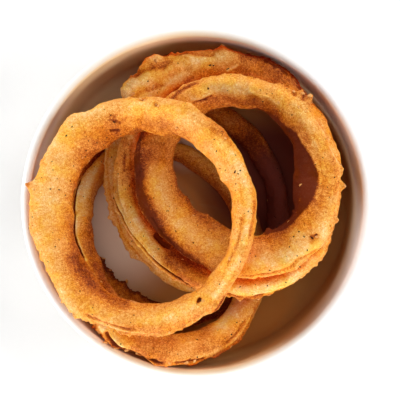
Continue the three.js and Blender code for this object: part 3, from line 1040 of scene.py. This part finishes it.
def crust_material():
    material, tree, shader = new_material("fried_batter")
    tone = attribute_node(tree, "tone")
    for scale, detail, share in MOTTLES:
        mottle = noise_node(tree, scale, detail, MOTTLE_ROUGHNESS)
        tone = stretched(tree, mottle, share, tone)
    colour = ramp_node(tree, tone, CRUST_SHADES)
    crumbs = stretched(tree, noise_node(tree, *CRUMBS), *CRUMB_STRETCH)
    colour = mix_colours(tree, crumbs, colour, CRUMB_TINT, "MULTIPLY")
    patches = stretched(tree, noise_node(tree, *ORANGE_PATCHES), *ORANGE_STRETCH)
    colour = mix_colours(tree, patches, colour, ORANGE_TINT, "MULTIPLY")
    shelter = attribute_node(tree, "shelter")
    # Painted shade and bounce light where the crust is closed in by other rings.
    colour = mix_colours(tree, shelter, colour, SHELTER_PAINTED_TINT, "MULTIPLY")
    # Painted shade deep in the heap.
    colour = mix_colours(tree, attribute_node(tree, "deep"), colour, DEEP_PAINTED_SHADE)
    tree.links.new(colour, shader.inputs["Base Color"])
    shader.inputs["Roughness"].default_value = CRUST_ROUGHNESS
    open_share = stretched(tree, shelter, -CRUST_SHEEN, CRUST_SHEEN)
    sheen = tree.nodes.new("ShaderNodeMath")
    sheen.operation = "MULTIPLY"
    tree.links.new(open_share, sheen.inputs[0])
    tree.links.new(stretched(tree, tone, *DULL_STRETCH, limited=True), sheen.inputs[1])
    tree.links.new(sheen.outputs[0], shader.inputs["Specular IOR Level"])
    bump = tree.nodes.new("ShaderNodeBump")
    bump.inputs["Strength"].default_value = GRAIN_STRENGTH
    bump.inputs["Distance"].default_value = GRAIN_HEIGHT * MM
    tree.links.new(noise_node(tree, *CRUST_GRAIN), bump.inputs["Height"])
    tree.links.new(bump.outputs["Normal"], shader.inputs["Normal"])
    return material


def bits_material(name, grain, shades, finish):
    material, tree, shader = new_material(name)
    shade = ramp_node(tree, noise_node(tree, *grain), shades)
    tree.links.new(shade, shader.inputs["Base Color"])
    for channel, value in zip(("Roughness", "Specular IOR Level"), finish):
        shader.inputs[channel].default_value = value
    return material


def glaze_material():
    material, tree, shader = new_material("glazed_stoneware")
    *grain, share = GLAZE_NOISE
    depth = stretched(tree, noise_node(tree, *grain), share, attribute_node(tree, "inside"))
    colour = ramp_node(tree, depth, GLAZE_SHADES)
    # Painted light in spots, painted shade deep in the heap, and the colour of the outside.
    for name, shade in (
        ("painted_light", LIT_SPOT_SHADE), ("painted_tan_light", LIT_TAN_SHADE), ("deep", DEEP_PAINTED_SHADE),
        ("outside", OUTSIDE_SHADE),
    ):
        colour = mix_colours(tree, attribute_node(tree, name), colour, shade)
    tree.links.new(colour, shader.inputs["Base Color"])
    shader.inputs["Roughness"].default_value = GLAZE_ROUGHNESS
    sheen = stretched(tree, attribute_node(tree, "deep"), -GLAZE_SHEEN, GLAZE_SHEEN)
    tree.links.new(sheen, shader.inputs["Specular IOR Level"])
    return material


def floor_material():
    material, tree, shader = new_material("studio_floor")
    shader.inputs["Base Color"].default_value = (FLOOR_GREY, FLOOR_GREY, FLOOR_GREY, 1)
    shader.inputs["Roughness"].default_value = FLOOR_ROUGHNESS
    return material


# -------- pieces
crust = crust_material()

bowl, bowl_points, lining = bowl_piece(glaze_material())
paint_bowl_light_and_shade(bowl, bowl_points, lining)

grids, crusts = {}, {}
for ring in RINGS:
    crusts[ring["name"]] = crust_mesh(ring)
    grid = crusts[ring["name"]][0].reshape(STEPS_AROUND, SIDES, 3)
    grids[ring["name"]] = (grid, grid_normals(grid))

# How closed in the crust is, over coarser meshes of the rings in the bowl.
rows, columns = SHELTER_STEP
heap_points, heap_faces = [bowl_points], [tuple(face.vertices) for face in bowl.data.polygons]
for grid, _ in grids.values():
    coarse = grid[::rows, ::columns]
    first = sum(len(points) for points in heap_points)
    heap_points.append(coarse.reshape(-1, 3))
    heap_faces += (grid_faces(*coarse.shape[:2]) + first).tolist()
heap = BVHTree.FromPolygons(np.vstack(heap_points).tolist(), heap_faces)

middle_tone = sum(share for _, _, share in MOTTLES) / 2
for ring in RINGS:
    points, tone, deep = crusts[ring["name"]]
    grid = grids[ring["name"]][0][::rows, ::columns]
    shelter = sheltered(grid.reshape(-1, 3), grid_normals(grid).reshape(-1, 3), heap)
    shelter = smoothly(filled_in(shelter.reshape(grid.shape[:2])).ravel(), *SHELTER_RANGE)
    piece = make_piece(
        "crusted_" + ring["name"], points, grid_faces(STEPS_AROUND, SIDES), crust
    )
    # Closed-in crust is painted darker, as shade.
    set_attribute(piece, "tone", tone - middle_tone - SHELTER_PAINTED_TONE * shelter)
    set_attribute(piece, "deep", deep)
    set_attribute(piece, "shelter", shelter)
    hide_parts(ring["name"])

pepper = bits_material("pepper", PEPPER_GRAIN, PEPPER_SHADES, PEPPER_FINISH)
flakes = bits_material("batter_flakes", FLAKE_GRAIN, FLAKE_SHADES, FLAKE_FINISH)
for name, material, shape, table, small, sizes in (
    ("pepper_specks", pepper, PEPPER_SHAPE, PEPPER, SMALL_PEPPER, SMALL_PEPPER_SIZES),
    ("batter_flakes", flakes, FLAKE_SHAPE, FLAKES, SMALL_FLAKES, SMALL_FLAKE_SIZES),
):
    bits = [bit(*found, *shape) for found in scattered(table, grids, small, sizes)]
    faces = np.vstack([BALL_FACES + i * len(BALL_POINTS) for i in range(len(bits))])
    make_piece(name, np.vstack(bits), faces, material)

# -------- studio
half = FLOOR_HALF_WIDTH * MM
floor_mesh = bpy.data.meshes.new("studio_floor")
floor_mesh.from_pydata(
    [(-half, -half, 0), (half, -half, 0), (half, half, 0), (-half, half, 0)], [], [(0, 1, 2, 3)]
)
floor_mesh.materials.append(floor_material())
floor = bpy.data.objects.new("studio_floor", floor_mesh)
bpy.context.scene.collection.objects.link(floor)

for name, azimuth, elevation, strength in LIGHTS:
    data = bpy.data.lights.new(name, "SUN")
    data.energy = strength
    data.angle = math.radians(LIGHT_SOFTNESS)
    light = bpy.data.objects.new(name, data)
    bpy.context.scene.collection.objects.link(light)
    turn, rise = math.radians(azimuth), math.radians(elevation)
    flat = math.cos(rise)
    towards = Vector((flat * math.cos(turn), flat * math.sin(turn), math.sin(rise)))
    light.rotation_euler = towards.to_track_quat("Z", "Y").to_euler()

world = bpy.data.worlds.new("studio")
bpy.context.scene.world = world
world.use_nodes = True
background = world.node_tree.nodes["Background"]
background.inputs["Color"].default_value = (*SKY_COLOUR, 1)
background.inputs["Strength"].default_value = SKY_STRENGTH

camera_data = bpy.data.cameras.new("camera")
camera_data.lens = CAMERA_LENS
camera_data.sensor_width = SENSOR
camera = bpy.data.objects.new("camera", camera_data)
bpy.context.scene.collection.objects.link(camera)
camera.location = (CAMERA_X * MM, CAMERA_Y * MM, CAMERA_HEIGHT * MM)
bpy.context.scene.camera = camera
bpy.context.scene.view_settings.view_transform = "Standard"
